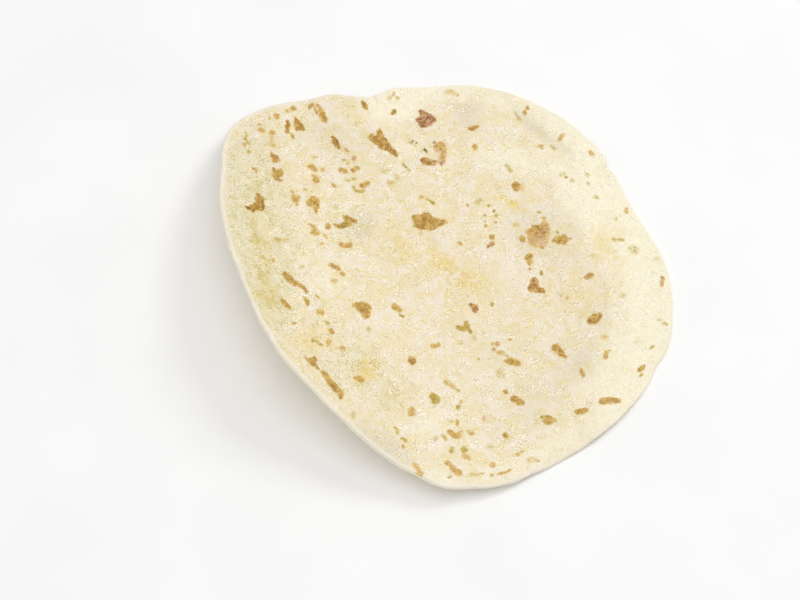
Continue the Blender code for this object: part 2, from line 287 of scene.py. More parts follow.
TOAST_NEAR_LEFT = (
    (0.72, 0, (285.3, 304, 14.6, 3.9, -47)),
    (0.58, -0.5, (304.8, 298.2, 4.4, 2.4, -50), (307.1, 302.2, 7.8, 4.6, -65)),
    (0.5, -0.7, (317.2, 296.8, 5.6, 2, -45)),
    (0.48, -0.2, (319, 311.4, 5.2, 5.8), (322.2, 313.4, 3.6, 5.4)), (0.52, 0.4, (293.9, 323.1, 4.2, 3.6)),
    (0.48, -0.8, (328.2, 323.3, 3.4, 2.4, -40), (325.7, 321.2, 3, 0.9, -50)),
    (0.52, 0, (331.6, 331.5, 7, 4.6, -55)), (0.68, -0.8, (312.5, 341, 3.6, 3.2, -60)),
    (0.48, -0.5, (316.6, 341.6, 3.2, 2.2, -30), (320.2, 344.8, 5.6, 2.6, -35)),
    (0.36, 0, (328.4, 342.9, 5.8, 7.6)), (0.38, -0.1, (342.3, 348.6, 6.2, 4.8, -20)),
    (0.62, 0.1, (355.4, 378.3, 5, 2.8), (360.4, 378.9, 9.2, 6, -15)),
    (0.54, 0.1, (394.6, 306.6, 6.2, 7.2), (398.6, 309.2, 8, 5.4, -40)),
    (0.6, -0.6, (401.3, 315.9, 6.4, 2.7, -28)), (0.28, -1, (369, 329, 2.8, 3.4)),
    (0.42, -0.3, (433.4, 345.8, 6.2, 5.4), (438.2, 344.6, 5.6, 5.4)),
    (0.74, 0.4, (410.2, 359.3, 5.6, 6.2), (412.8, 361.4, 6.4, 7.2)), (0.25, -0.9, (353.4, 415, 3.2, 6.6)),
    (0.58, 0.3, (396.1, 428.6, 5, 2.2, -50)), (0.45, -0.7, (397.7, 433.1, 2.8, 2, -40)),
    (0.55, -0.4, (401.5, 438.7, 3.6, 1.9), (404.7, 440.3, 5.6, 3.2, -50)),
    (0.55, 0.2, (403.1, 446.3, 5, 2.2, -60)),
    (0.4, -0.1, (415, 466, 6.8, 4, -58), (418.3, 470.3, 8.6, 3.6, -55), (421.2, 473.6, 4.8, 4.2)),
    (0.28, -0.9, (435.8, 438.6, 3.2, 3)),
)

# Burnt flecks too small to have a shape: darkness and tone, length and width, then across and down of each.
FLECK_LOOK = (1.5, -0.6)
FLECK_SIZE = (1.3, 1.1)
BURNT_FLECKS = (
    (409.3, 139), (408.3, 142.6), (411, 142.9), (412.4, 144.3), (412.9, 141), (416.1, 142.4),
    (415.7, 145.7),
)
FLECK_MARKS = tuple((*FLECK_LOOK, (*place, *FLECK_SIZE)) for place in BURNT_FLECKS)
LOBED_TOAST = TOAST_LEFT + TOAST_RIGHT + TOAST_NEAR_RIGHT + TOAST_NEAR_LEFT + FLECK_MARKS

# Larger toast marks in the picture: darkness, tone, and the outline, as its first corner's place across
# and down and then each other corner's distance across and down from there, in half pixels.
OUTLINED_TOAST = (
    (0.8, 0.1, 379.5, 128.5, 5, 7, 9, 15, 15, 22, 19, 29, 25, 37, 33, 45, 38, 53, 38, 58, 34, 59, 29, 54,
     21, 49, 13, 44, 2, 42, -3, 35, -13, 28, -21, 22, -23, 16, -16, 10, -9, 15, -5, 14, -6, 6),
    (0.66, 0.1, 412.5, 216.5, 4, -3, 19, -4, 24, -8, 31, -9, 36, -5, 41, 1, 49, 4, 57, 6, 64, 5, 69, 9,
     69, 14, 63, 16, 57, 20, 49, 24, 41, 28, 33, 29, 23, 26, 17, 28, 12, 25, 7, 22, 3, 15, 0, 7),
    (0.36, 0.4, 544, 221.5, 7, 3, 11, 11, 14, 21, 10, 29, 9, 39, 5, 48, -2, 53, -8, 52, -16, 54, -24, 50,
     -30, 47, -33, 39, -33, 29, -37, 23, -34, 15, -26, 13, -23, 8, -8, 7, -4, 2),
    (0.5, -0.3, 519.5, 237, 5, -3, 11, 0, 13, 6, 10, 11, 1, 10),
    (0.6, 0, 551.5, 241.5, 4, -5, 10, -11, 17, -10, 23, -14, 29, -13, 33, -8, 40, -8, 41, -5, 33, -1, 31, 4,
     25, 8, 17, 7, 9, 4),
    (0.88, -0.2, 257, 192.5, 6, 3, 11, 9, 14, 14, 13, 23, 15, 30, 12, 37, 8, 39, 3, 36, -4, 37, -10, 40,
     -13, 35, -19, 33, -24, 27, -13, 26, -8, 23, -3, 20, -4, 14, -6, 11, -2, 6, -3, 2),
    (0.75, -0.1, 353, 304, 6, -3, 16, -5, 25, -4, 30, 0, 36, 4, 38, 9, 34, 14, 35, 21, 32, 27, 25, 30,
     20, 28, 17, 22, 14, 16, 8, 13, 4, 8, -2, 6),
    (0.98, 0.8, 418.5, 110.5, 5, -1, 11, 1, 17, 5, 25, 9, 31, 11, 36, 18, 32, 24, 25, 30, 17, 33, 7, 34,
     2, 31, -1, 26, -5, 20, -5, 15, 1, 12, 3, 7, 1, 4),
    (0.76, 0.5, 532.5, 277, 5, -1, 9, 2, 12, 8, 12, 14, 15, 20, 22, 22, 26, 28, 25, 32, 17, 31, 3, 31,
     -6, 30, -10, 25, -9, 18, -5, 12, -3, 5),
    (0.8, -0.5, 342, 216, 8, -1, 14, 1, 22, 5, 31, 9, 31, 13, 26, 15, 19, 14, 20, 20, 10, 23, 4, 25, -2, 26,
     -7, 23, -16, 20, -16, 16, -4, 17, 1, 13, 6, 10, 3, 5),
    (0.66, -0.2, 308.5, 199.5, 5, -5, 13, -5, 19, -2, 22, 4, 21, 11, 22, 17, 19, 24, 15, 28, 12, 24, 11, 18,
     4, 15, -2, 11, -4, 6),
    (0.82, -0.1, 270, 150.5, 3, 2, 6, 7, 11, 9, 16, 12, 20, 17, 20, 22, 15, 23, 7, 25, 5, 20, 2, 14, 1, 8),
    (0.9, -0.3, 272, 167.5, 5, 1, 6, 5, 12, 4, 18, 3, 23, 7, 23, 13, 20, 18, 15, 19, 14, 23, 21, 25, 20, 28,
     12, 28, 5, 27, 4, 21, -1, 19, 1, 12, 0, 5),
    (0.8, -0.1, 294.5, 115.5, 4, 4, 9, 9, 15, 16, 19, 23, 21, 29, 16, 31, 10, 30, 3, 32, 0, 23, -1, 13),
    (0.72, 0.1, 286, 120.5, 5, 0, 8, 5, 8, 13, 7, 21, 8, 27, 2, 26, -3, 23, 0, 18, -2, 12, 0, 6),
    (0.75, -0.4, 308, 104.5, 6, -1, 7, 7, 3, 11, 1, 8),
    (0.9, -0.1, 311, 103.5, 4, 0, 7, 6, 12, 14, 15, 22, 11, 22, 7, 14, 3, 7),
    (0.62, 0, 316, 104, 6, 1, 11, 8, 16, 14, 19, 22, 23, 31, 22, 37, 17, 39, 12, 34, 8, 28, 5, 23, 9, 20,
     6, 13, 2, 6),
    (0.34, 0.7, 434, 144, 5, -3, 12, -4, 20, -3, 24, 4, 25, 12, 24, 22, 23, 32, 19, 41, 15, 45, 12, 41,
     9, 36, 8, 28, 12, 22, 13, 18, 6, 17, 1, 13, -1, 6),
    (0.85, 0.5, 420, 159.5, 6, -4, 12, -3, 20, -1, 28, 2, 34, 3, 36, 7, 32, 12, 24, 13, 16, 12, 9, 11,
     3, 7),
    (0.72, -0.4, 304.5, 355, 4, 4, 7, 7, 15, 5, 21, 1, 25, 5, 26, 11, 21, 14, 25, 20, 29, 26, 29, 31,
     24, 27, 17, 23, 12, 19, 6, 13, 2, 7),
    (0.62, -0.2, 320, 370.5, 7, 1, 13, 7, 18, 13, 22, 20, 28, 25, 36, 33, 44, 40, 47, 47, 45, 56, 41, 59,
     37, 55, 37, 49, 30, 43, 23, 37, 16, 29, 10, 20, 4, 11, 1, 5),
    (0.85, 0, 331, 136.5, 6, -1, 11, 4, 15, 10, 18, 17, 20, 23, 17, 26, 11, 23, 6, 19, 2, 12, 1, 6),
    (0.66, -0.3, 344, 147.5, 5, 3, 10, 9, 9, 12, 4, 9, 0, 4),
    (0.7, 0.4, 588.5, 317, 7, -5, 15, -8, 24, -9, 28, -6, 26, 1, 22, 8, 16, 14, 7, 16, 0, 14, -3, 8),
)

# Strokes inside the marks, darker or lighter than the rest: darkness, tone, and one lobe.
TOAST_STROKES = (
    (1.55, -0.1, (248.9, 208, 8.5, 3, -28)), (1.52, -0.1, (257, 210.4, 10, 2.8)),
    (1.15, -0.1, (256.8, 195.5, 4, 4)), (1.55, 0, (262.7, 205, 2.8, 12)),
    (1, 0.1, (386, 144, 20, 3.6, -48)), (1.1, 0, (395, 153.8, 9, 4, -50)),
    (1.05, -0.1, (374.5, 138.6, 7, 3, -15)), (0.55, -0.8, (370.5, 136.5, 4, 5)), (1, 0, (425, 219, 6, 11)),
    (0.9, 0.4, (420.5, 227, 9, 4)), (0.6, -1, (413.8, 217.5, 3, 4.5)), (0.78, 0.6, (442, 222.5, 7, 5)),
    (0.58, 0.5, (539, 231.5, 20, 15, 20)), (0.42, 0.5, (534, 240, 12, 9)),
    (0.95, -0.6, (536, 227.6, 9, 3, -25)), (0.7, 0.2, (531.5, 231, 7, 4.6)),
    (0.68, 0.6, (546.4, 229, 4.4, 11, -8)), (0.66, 0.6, (540, 235.5, 8, 4, 20)),
    (0.34, 0.8, (541.5, 243.5, 8, 6)), (0.8, -0.3, (559, 241.5, 7, 3, -25)),
    (0.4, 0.8, (569.5, 238.4, 5, 3)), (1, -0.5, (345.5, 217.8, 6, 3.2, -15)),
    (1, -0.3, (351.5, 220.6, 8, 3, -18)), (1, -0.2, (343.2, 224.4, 4.5, 2.4, 30)),
    (0.45, -0.4, (349, 225.5, 6, 2.6)), (1.2, 0, (313.5, 202.3, 6.5, 1.8, 25)),
    (0.45, 0.3, (315, 206.5, 4, 4)), (0.95, -0.2, (271.2, 153, 2, 5, 15)), (1.05, -0.1, (278, 159.5, 4, 4)),
    (1, -0.2, (276, 178, 4, 4)), (1, 0, (299, 126, 3, 11, 25)), (1, 0, (287.5, 124, 2.6, 6)),
    (0.5, 0.7, (318, 106.5, 3.4, 4.5, 30)), (1, -0.1, (324.6, 118.5, 3.4, 6.5, 20)),
    (1.1, 0.4, (425.5, 161.5, 9, 3.6, -25)), (0.3, 1, (437, 163, 3.5, 3)),
    (0.52, 0.3, (440, 146.5, 10, 8, 10)), (0.5, 0.4, (443.6, 154.5, 4.6, 15)),
    (0.55, 0.7, (440.8, 163.2, 4.6, 4.4)), (1, -0.2, (308.5, 360.5, 9, 2.4, -52)),
    (0.95, 0, (331.5, 386.5, 10, 3.6, -48)), (0.9, 0, (340.4, 397.6, 4.2, 4.2)),
    (1.2, -0.1, (333.6, 138.2, 3.6, 3.4)), (1, 0.4, (336.8, 144, 4, 6, 20)),
    (0.6, 0.3, (423, 114.5, 5, 3, -30)), (1.25, 0.6, (422, 123, 6, 4.4)),
    (1.15, 0.7, (431, 119, 9, 4, -15)), (1.15, 0.4, (541.5, 290.5, 8, 3.4, -20)),
    (1.05, 0.4, (531, 289.5, 6, 3.6)),
)

# Broad soft tints of the upper face, some of them painted shade and painted light: across, down, length,
# width, tilt, strength.
# Straw-yellow patches, mostly the crust's own stains; the two at the curled left side's edge are painted
# bounce light.
STRAW_AND_BOUNCE_LIGHT_TINTS = (
    (393, 226, 36, 18, -70, 0.6), (406, 250, 50, 30, -45, 0.7), (452, 268, 104, 52, -22, 0.45),
    (436, 260, 56, 26, -15, 0.4), (470, 283, 56, 26, -35, 0.45), (505, 199, 34, 13, -18, 1.2),
    (514, 204.5, 13, 17, -30, 0.9), (598, 243, 26, 60, 15, 0.3), (612, 248, 60, 110, 10, 0.36),
    (585, 305, 40, 50, 0, 0.35), (355, 122, 30, 26, 0, 0.4), (264, 240, 34, 110, 4, 0.34),
    (266, 300, 44, 64, 20, 0.28), (316, 338, 84, 50, 20, 0.5), (367, 370, 44, 44, 0, 0.8),
    (402, 394, 60, 40, 0, 0.25), (440, 284, 50, 30, 0, 0.25), (560, 285, 70, 60, 0, 0.25),
    (622, 378, 60, 60, 0, 0.2),
)
# Olive patches: over the curled left side they are painted shade and painted bounce light, elsewhere the
# crust's own tint.
OLIVE_AND_PAINTED_SHADE_TINTS = (
    (256, 235, 120, 330, 8, 0.55), (262, 300, 60, 80, 0, 0.34), (330, 250, 170, 300, 0, 0.12),
    (264, 272, 160, 40, -74, 0.34), (262, 182, 44, 70, 0, 0.3), (365, 367, 50, 44, 0, 0.34),
    (350, 370, 220, 120, -42, 0.32), (402, 396, 80, 60, 0, 0.18), (358, 227, 48, 50, 0, 0.4),
)
# Paler patches, partly the crust's own floury paleness and partly painted light where the far and right rims
# are brighter.
PALE_AND_PAINTED_LIGHT_TINTS = (
    (394, 104, 96, 66, 8, 1.4), (405, 150, 50, 50, 0, 0.3), (512, 160, 110, 50, -15, 0.8),
    (578, 198, 90, 64, -60, 0.95), (597, 238, 40, 80, 10, 0.8), (430, 425, 90, 50, -15, 0.5),
    (318, 275, 90, 80, -30, 0.35), (552, 109, 116, 34, -34, 1), (545, 442, 100, 44, 25, 0.35),
    (430, 88, 120, 20, 0, 0.4), (492, 118, 44, 44, 0, 0.3), (480, 370, 130, 130, 0, 0.16),
    (342, 200, 70, 60, 0, 0.25),
)
# Painted shade: greyer patches where the face lies in shade, as in the valley inside the far right rim,
# round the blister by the big pale spot and over the raised left side.
PAINTED_SHADE_TINTS = (
    (470, 112, 50, 60, 10, 0.55), (514, 107, 34, 16, -50, 0.6), (534, 125, 66, 26, -42, 0.75),
    (566, 150, 66, 18, -18, 0.7), (545, 232, 100, 86, 0, 0.45), (604, 305, 22, 80, 4, 0.45),
    (578, 362, 80, 80, 20, 0.38), (500, 350, 130, 110, 0, 0.15), (362, 224, 40, 48, 0, 0.6),
    (590, 372, 50, 50, 0, 0.25), (330, 138, 110, 60, -20, 0.35), (262, 160, 90, 110, 0, 0.35),
    (233, 185, 26, 130, 0, 0.6), (385, 450, 140, 50, -38, 0.7), (600, 425, 60, 40, 30, 0.3),
    (540, 400, 120, 90, 20, 0.25),
)

# The paler stretches of the rim are partly the dough's own paleness and partly painted light.
# Paler stretches of the rim: the middle's angle, how far they spread each way, how wide they are, strength.
# They have their full strength within a share of the spread, and fade between two shares of the width.
PALE_RIM_FULL = 0.6
PALE_RIM_FADE = (1.35, 0.65)
PALE_AND_PAINTED_LIGHT_RIMS = (
    (2, 60, 21, 0.95),
    (70, 30, 9, 0.55),
    (-62, 40, 9, 0.45),
)

# The pale line round the rim: its width, its strength away from the curl, and the turns from the curl's
# direction at which it starts to gain strength and has it all.
PALE_LINE_WIDTH = 2.9
PALE_LINE_LEAST = 0.25
PALE_LINE_TURNS = (115.0, 70.0)

# The underside's toast marks, which are seeded: how many, the pixels that they measure, the size from
# which they can have several lobes, the most lobes, the usual tilt and its spread, darkness and tone.
UNDERSIDE_MARKS = 230
UNDERSIDE_SIZES = (3.0, 22.0)
UNDERSIDE_LOBED_SIZE = 6.0
UNDERSIDE_LOBES = 4
UNDERSIDE_TILTS = (-45.0, 50.0)
UNDERSIDE_DARKNESS = (0.3, 0.85)
UNDERSIDE_TONES = (-0.7, 0.6)

# The underside's tints: wavelength, strength and seed of the straw and olive patches, how high a ripple
# has to be for them, the even grey, and the pale border's width and strength. The underside's relief
# grows between two heights over the table, so that it rests flat.
UNDERSIDE_STRAW = (30.0, 0.35, 101)
UNDERSIDE_OLIVE = (45.0, 0.3, 102)
UNDERSIDE_PATCHES = (0.0, 1.6)
UNDERSIDE_GREY = 0.2
UNDERSIDE_PALE_WIDTH = 22.0
UNDERSIDE_PALE = 0.6
UNDERSIDE_LIFT = (0.05, 1.5)

# The crust's and the table's colours, as red, green and blue out of 255.
FLOUR = (247, 235, 214)
WARM_CREAM = (243, 228, 191)
STRAW = (240, 223, 160)
# STAIN_AND_BOUNCE_LIGHT is the crust's own stains and, by the curled left side, painted bounce light.
STAIN_AND_BOUNCE_LIGHT = (240, 213, 138)
# PALE_AND_PAINTED_LIGHT is partly painted light on the upper face, and the rim's own paleness.
PALE_AND_PAINTED_LIGHT = (254, 245, 219)
# GREY_AND_PAINTED_SHADE is the painted shade on the upper face and the underside's even grey.
GREY_AND_PAINTED_SHADE = (222, 212, 187)
SAGE = (234, 225, 191)
OLIVE = (222, 206, 146)
OLIVE_WISP = (202, 184, 108)
GOLD = (234, 200, 121)
ROSE_GOLD = (234, 192, 144)
OLIVE_GOLD = (210, 190, 96)
BROWN = (156, 104, 24)
RED_BROWN = (138, 80, 48)
OLIVE_BROWN = (138, 112, 26)
CHAR = (66, 58, 30)
RIM_TINT = (245, 238, 224)
DUST_YELLOWING = 1.35  # the power by which blue changes more than red and green
TABLE = (255, 255, 255)
TABLE_SHADE = (252, 252, 252)

# The stage: half the table's side and the gap that keeps it apart from the sheet's flat middle, in metres,
# the soft square lights, each a name, a place and a size in metres and a power in watts, and the world.
TABLE_HALF = 4.0
TABLE_GAP = 0.15 * MM
LIGHTS = (
    ("overhead_softbox", (-0.1, -0.2, 1.6), 1.8, 10.7),
    ("key", (1.2, 0.9, 1.4), 0.7, 10.2),
)
WHITE = (1.0, 1.0, 1.0, 1.0)
WORLD_STRENGTH = 0.52


def linear(colour):
    """A colour out of 255 as the linear one that a shader takes, by the sRGB curve above its near blacks."""
    return tuple(((channel / 255.0 + 0.055) / 1.055) ** 2.4 for channel in colour) + (1.0,)


# ---- The sheet's form -------------------------------------------------------------------------


def soft_bump(distance):
    """1 at no distance, falling smoothly to exactly 0 at a distance of 1 and beyond."""
    return (1.0 - np.minimum(distance, 1.0) ** 2) ** 2


def smooth_step(value, low, high):
    """0 up to low, 1 from high on, and a smooth rise between."""
    share = np.clip((value - low) / (high - low), 0.0, 1.0)
    return share * share * (3.0 - 2.0 * share)


def turn_between(angle, other):
    """The size of the turn from one angle to the other, in degrees, up to 180."""
    return np.abs((angle - other + 180.0) % 360.0 - 180.0)


def rim_radius(angle):
    """The flat sheet's radius at angles in degrees: a smooth curve through RIM_RADII, less its dents."""
    radii = np.array(RIM_RADII, dtype=float)
    place = angle % 360.0 / (360.0 / len(radii))
    first = place.astype(int)
    t = place - first
    a, b, c, d = (radii[(first + k) % len(radii)] for k in (-1, 0, 1, 2))
    radius = b + 0.5 * t * (c - a + t * (2 * a - 5 * b + 4 * c - d + t * (3 * (b - c) + d - a)))
    for where, depth, width in RIM_DENTS + RIM_NICKS:
        radius -= depth * soft_bump(turn_between(angle, where) / width)
    return radius


def rim_raggedness(angle):
    """Small seeded ups and downs of the rim, in millimetres."""
    random = np.random.default_rng(RIM_SEED)
    total = np.zeros_like(angle)
    for wave in RIM_WAVES:
        size, phase = random.normal(), random.uniform(0.0, 2.0 * math.pi)
        total += size * np.cos(np.radians(wave * angle) + phase) / wave
    return RIM_RAGGEDNESS * total / math.sqrt(sum(0.5 / wave ** 2 for wave in RIM_WAVES))


def turned(places, middle, direction):
    """Places seen from a middle, in axes turned by a direction in degrees."""
    away = places - np.array(middle)
    cosine, sine = math.cos(math.radians(direction)), math.sin(math.radians(direction))
    return away @ np.array([[cosine, -sine], [sine, cosine]])


def within(places, middle, reach):
    """Which places lie in a square round a middle."""
    x, y = places.T
    return np.flatnonzero((np.abs(x - middle[0]) < reach) & (np.abs(y - middle[1]) < reach))


def wave_height(places):
    """How far the whole sheet stands off its plain form."""
    height = np.zeros(len(places))
    for x, y, half_length, half_width, direction, rise in WAVES:
        away = turned(places, (x, y), direction) / (half_length, half_width)
        height += rise * soft_bump(np.hypot(away[:, 0], away[:, 1]))
    return height


def thickness(places, inside):
    """The dough's thickness: plain in the middle, thin at the rim, thick in a blister."""
    taper = soft_bump(inside / RIM_TAPER)
    dough = PLAIN_THICKNESS - (PLAIN_THICKNESS - THINNEST) * taper
    for x, y, radius, height in BLISTERS:
        away = np.hypot(places[:, 0] - x, places[:, 1] - y)
        dough = dough + height * (1.0 - taper) * soft_bump(away / radius)
    return np.clip(dough, THINNEST, THICKEST)


def curled(places, lift):
    """Places on the flat sheet, lifted off it by so much, in space once the sheet is curled."""
    direction = np.array([math.cos(math.radians(CURL_DIRECTION)), math.sin(math.radians(CURL_DIRECTION))])
    beyond = np.maximum(places @ direction - CURL_START, 0.0)
    slope = beyond / CURL_RADIUS
    level = places + np.outer(CURL_RADIUS * np.sin(slope) - beyond - lift * np.sin(slope), direction)
    height = CURL_RADIUS * (1.0 - np.cos(slope)) + lift * np.cos(slope)
    return np.column_stack((level, height))


def ripples(places, wavelength, seed):
    """Seeded unevenness of about unit height, with one main wavelength in millimetres."""
    random = np.random.default_rng(seed)
    total = np.zeros(len(places))
    for _ in range(RIPPLE_WAVES):
        turn, phase = random.uniform(0.0, 2.0 * math.pi, 2)
        pace = 2.0 * math.pi / (wavelength * random.uniform(*RIPPLE_SPREAD))
        total += np.cos(pace * (places @ np.array([math.cos(turn), math.sin(turn)])) + phase)
    return total * math.sqrt(2.0 / RIPPLE_WAVES)


def pimples(places, seed):
    """Many tiny seeded blisters, as heights in millimetres."""
    random = np.random.default_rng(seed)
    height = np.zeros(len(places))
    reach = max(RIM_RADII)
    for _ in range(PIMPLE_COUNT):
        middle = random.uniform(-reach, reach, 2)
        size = random.uniform(0.0, 1.0) ** 2
        radius = PIMPLE_RADII[0] + (PIMPLE_RADII[1] - PIMPLE_RADII[0]) * size
        rise = PIMPLE_HEIGHTS[0] + (PIMPLE_HEIGHTS[1] - PIMPLE_HEIGHTS[0]) * size * random.uniform(0.4, 1.0)
        near = within(places, middle, radius)
        away = np.hypot(*(places[near] - middle).T)
        height[near] += rise * soft_bump(away / radius)
    return height


# ---- The picture's pixels on the sheet --------------------------------------------------------


def camera_axes():
    """The camera's right, up and forward directions."""
    rise = math.radians(CAMERA_ELEVATION)
    right = np.array([1.0, 0.0, 0.0])
    up = np.array([0.0, math.sin(rise), math.cos(rise)])
    forward = np.array([0.0, math.cos(rise), -math.sin(rise)])
    return right, up, forward


def camera_place():
    """The camera's place in millimetres, measured from the flat sheet's middle."""
    _, up, forward = camera_axes()
    across = (FRAME_WIDTH / 2 - SHEET_MIDDLE[0]) * MM_PER_PIXEL
    away = (SHEET_MIDDLE[1] - FRAME_HEIGHT / 2) * MM_PER_PIXEL / up[1]
    return np.array([across, away, 0.0]) - CAMERA_DISTANCE * forward


def picture_pixels(points):
    """The pixels at which the picture shows points given in millimetres from the flat sheet's middle."""
    right, up, forward = camera_axes()
    away = points - camera_place()
    scale = CAMERA_DISTANCE / MM_PER_PIXEL / (away @ forward)
    return np.column_stack((FRAME_WIDTH / 2 + away @ right * scale, FRAME_HEIGHT / 2 - away @ up * scale))


def soft_spots(pixels, spots):
    """The sum of soft elliptical spots: across, down, length, width, tilt and strength each."""
    total = np.zeros(len(pixels))
    for across, down, length, width, tilt, strength in spots:
        away = turned(pixels, (across, down), -tilt) / (length / 2, width / 2)
        total += strength * soft_bump(np.hypot(away[:, 0], away[:, 1]))
    return total


def lobe_depth(pixels, across, down, length, width, tilt=0.0):
    """How many pixels each place is inside an elliptical lobe's edge, and less than 0 outside it."""
    halves = np.array([length / 2, width / 2])
    away = turned(pixels, (across, down), -tilt)
    reach = np.hypot(*(away / halves).T) + TINY
    pull = np.hypot(*(away / halves ** 2).T) + TINY
    return reach * (1.0 - reach) / pull


def lobed_depth(pixels, lobes):
    """How many pixels each place is inside the edge of several lobes that flow together."""
    depth = np.full(len(pixels), FAR_OUTSIDE)
    for lobe in lobes:
        own = lobe_depth(pixels, *lobe)
        depth = np.logaddexp(depth * LOBE_TIGHTNESS, own * LOBE_TIGHTNESS) / LOBE_TIGHTNESS
    return depth


def with_corners(mark):
    """A row of OUTLINED_TOAST with each corner as its place in the picture."""
    darkness, tone, across, down, *halves = mark
    others = [(across + right / 2, down + below / 2) for right, below in zip(halves[::2], halves[1::2])]
    return darkness, tone, (across, down), *others


def outlined_depth(pixels, corners):
    """How many pixels each place is inside a closed outline, and less than 0 outside it."""
    nearest = np.full(len(pixels), np.inf)
    inside = np.zeros(len(pixels), dtype=bool)
    for start, end in zip(corners, corners[1:] + corners[:1]):
        side = np.subtract(end, start)
        away = pixels - start
        share = np.clip(away @ side / (side @ side), 0.0, 1.0)
        nearest = np.minimum(nearest, np.hypot(*(away - np.outer(share, side)).T))
        crosses = (start[1] > pixels[:, 1]) != (end[1] > pixels[:, 1])
        inside ^= crosses & (away[:, 0] < away[:, 1] * side[0] / (side[1] or 1.0))
    return np.where(inside, nearest, -nearest)


def toast_fields(pixels, lobed, outlined=(), strokes=()):
    """How far each place is inside its nearest mark's edge, in pixels, and that mark's darkness and tone."""
    depth = np.full(len(pixels), -MARK_REACH)
    darkness = np.zeros(len(pixels))
    tone = np.zeros(len(pixels))
    for depth_in, marks in ((lobed_depth, lobed), (outlined_depth, outlined)):
        for mark_darkness, mark_tone, *shape in marks:
            middle = np.mean([place[:2] for place in shape], axis=0)
            near = within(pixels, middle, MARK_REACH)
            here = depth_in(pixels[near], shape)
            nearer = here > depth[near]
            depth[near[nearer]] = here[nearer]
            darkness[near[nearer]] = mark_darkness
            tone[near[nearer]] = mark_tone
    for stroke_darkness, stroke_tone, lobe in strokes:
        near = within(pixels, lobe[:2], MARK_REACH)
        share = smooth_step(lobe_depth(pixels[near], *lobe), -STROKE_EDGE, STROKE_EDGE)
        darkness[near] += share * (stroke_darkness - darkness[near])
        tone[near] += share * (stroke_tone - tone[near])
    return depth, darkness, tone


def pale_and_painted_light_rims(angles, inside):
    """How pale each place is for lying near a pale stretch of the rim, partly its own paleness and partly
    painted light.
    """
    total = np.zeros(len(angles))
    for middle, spread, width, strength in PALE_AND_PAINTED_LIGHT_RIMS:
        along = smooth_step(turn_between(angles, middle), spread, PALE_RIM_FULL * spread)
        total += strength * along * smooth_step(inside / width, *PALE_RIM_FADE)
    return total


def underside_marks():
    """Seeded toast marks for the underside, in the same form as the picture's and of like sizes."""
    random = np.random.default_rng(UNDERSIDE_MARKS_SEED)
    reach = max(RIM_RADII) / MM_PER_PIXEL
    smallest, largest = UNDERSIDE_SIZES
    marks = []
    for _ in range(UNDERSIDE_MARKS):
        middle = random.uniform(-reach, reach, 2)
        size = smallest + (largest - smallest) * random.uniform(0.0, 1.0) ** 3
        tilt = random.normal(*UNDERSIDE_TILTS)
        lobes = []
        for _ in range(random.integers(1, UNDERSIDE_LOBES + 1) if size > UNDERSIDE_LOBED_SIZE else 1):
            across, down = middle + random.normal(0.0, 0.32 * size, 2)
            length = size * random.uniform(0.6, 1.1)
            width = length * random.uniform(0.4, 0.9)
            lobes.append((across, down, length, width, tilt + random.normal(0.0, 20.0)))
        marks.append((random.uniform(*UNDERSIDE_DARKNESS), random.uniform(*UNDERSIDE_TONES), *lobes))
    return marks


def seeded_patches(places, wavelength, strength, seed):
    """Soft seeded patches, for the underside's tints."""
    return strength * smooth_step(ripples(places, wavelength, seed), *UNDERSIDE_PATCHES)


# ---- The sheet's mesh -------------------------------------------------------------------------


def net_of_rings():
    """A round net: each point's angle in degrees and its share of the way out, and the triangles."""
    angles, shares, triangles = [np.zeros(1)], [np.zeros(1)], []
    start = 1
    for ring in range(1, RINGS + 1):
        count = 6 * ring
        angles.append(np.arange(count) * 360.0 / count)
        shares.append(np.full(count, ring / RINGS))
        inner_count = max(count - 6, 1)
        inner_start = start - inner_count
        for side in range(6):
            steps = np.arange(ring)
            outer = start + side * ring + steps
            after = start + (side * ring + steps + 1) % count
            inner = inner_start + (side * (ring - 1) + steps) % inner_count
            triangles.append(np.column_stack((outer, after, inner)))
            inner_after = inner_start + (side * (ring - 1) + steps + 1) % inner_count
            triangles.append(np.column_stack((after, inner_after, inner))[:-1])
        start += count
    return np.concatenate(angles), np.concatenate(shares), np.concatenate(triangles)


def point_normals(points, triangles):
    """Each point's normal, from the triangles round it."""
    corners = points[triangles]
    crosses = np.cross(corners[:, 1] - corners[:, 0], corners[:, 2] - corners[:, 0])
    normals = np.zeros_like(points)
    for corner in range(3):
        for axis in range(3):
            normals[:, axis] += np.bincount(triangles[:, corner], crosses[:, axis], len(points))
    return normals / np.linalg.norm(normals, axis=1)[:, None]


def fine_relief(places, seed):
    """The unevenness that both faces have, in millimetres."""
    height = pimples(places, seed)
    for number, (wavelength, rise) in enumerate(RIPPLES):
        height += rise * ripples(places, wavelength, seed + 1 + number)
    return height


def toast_relief(depth, darkness):
    """Toast marks stand a little proud, because they are blisters that met the griddle."""
    return TOAST_HEIGHT * smooth_step(depth, *TOAST_SLOPE) * (TOAST_LEAST + darkness)


def rim_outward(places):
    """The flat direction that points straight out of the sheet at each rim point."""
    along = np.roll(places, -1, axis=0) - np.roll(places, 1, axis=0)
    outward = np.column_stack((along[:, 1], -along[:, 0]))
    return outward / np.linalg.norm(outward, axis=1)[:, None]


